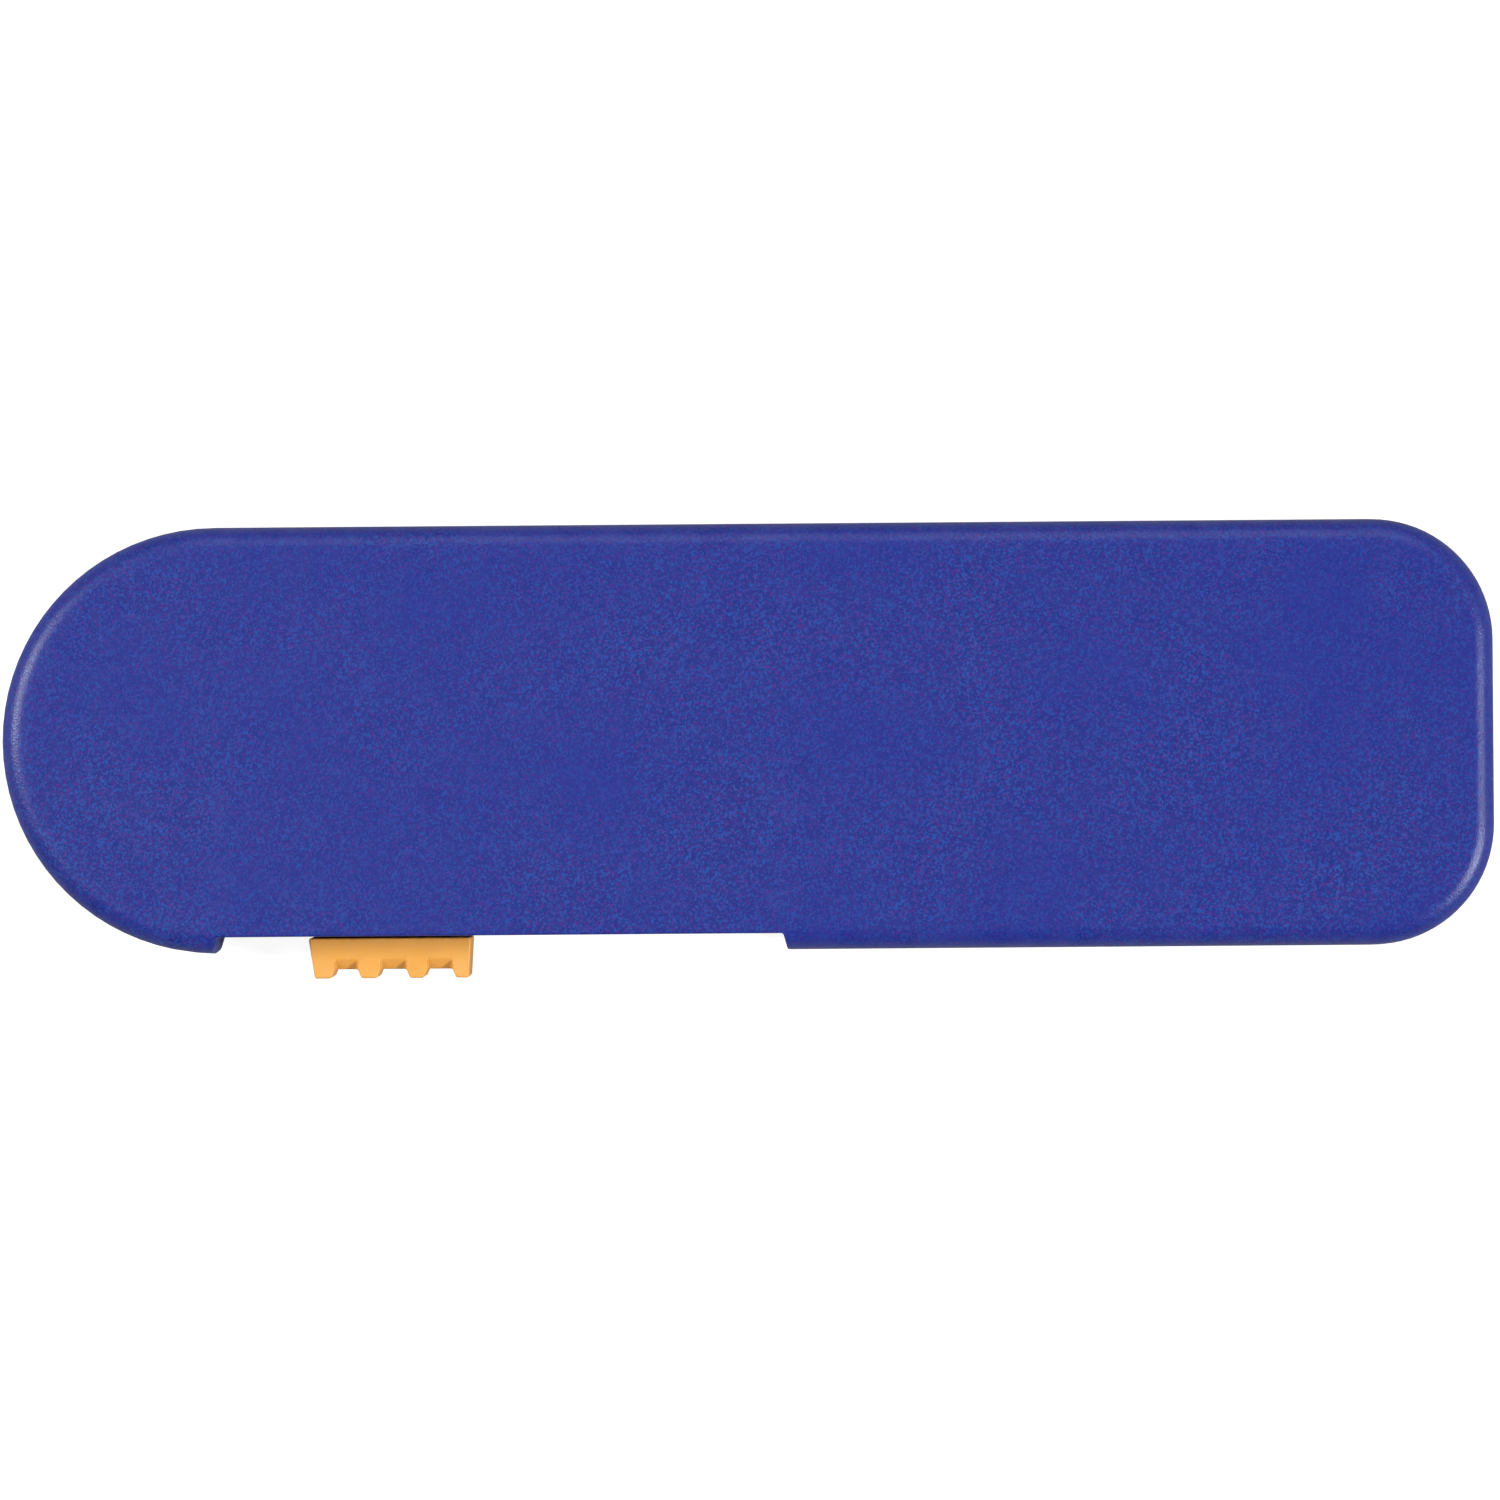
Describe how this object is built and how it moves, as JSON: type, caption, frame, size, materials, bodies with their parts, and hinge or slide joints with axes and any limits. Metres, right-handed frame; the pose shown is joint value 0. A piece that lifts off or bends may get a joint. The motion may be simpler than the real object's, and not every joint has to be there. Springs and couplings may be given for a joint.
{
  "type": "pocket chalkboard eraser",
  "caption": "Slim two-shell case with a rounded butt end; a ribbed thumb slide on its edge pushes a layered felt pad out of the mouth at the other end.",
  "frame": {"origin": "middle of the case's back face, which the case lies on", "axes": "+X along the case from the round butt end to the mouth, -Y towards the thumb slide, +Z from the back face to the front face"},
  "size_m": [0.0999, 0.0303, 0.014],
  "materials": {
    "case_plastic": "fine spark-eroded texture",
    "carriage_plastic": "as moulded",
    "grip_plastic": "satin",
    "screw_steel": "zinc plated",
    "spring_steel": "rolled strip",
    "felt": "pressed wool felt, chalky at the front"
  },
  "bodies": {
    "case": {"front_shell": "case_plastic", "back_shell": "case_plastic", "case_screws": "screw_steel"},
    "slide": {"slide_carriage": "carriage_plastic", "pad_clamp": "carriage_plastic", "thumb_grip": "grip_plastic", "detent_spring": "spring_steel", "pad_rivets": "screw_steel", "felt_layer_1": "felt", "felt_layer_2": "felt", "felt_layer_3": "felt", "felt_layer_4": "felt"}
  },
  "joints": [
    {"name": "pad_slide", "type": "slide", "parent": "case", "child": "slide", "axis": [1, 0, 0], "range_m": [-0.0051, 0.0204], "deforming": ["detent_spring"]}
  ]
}
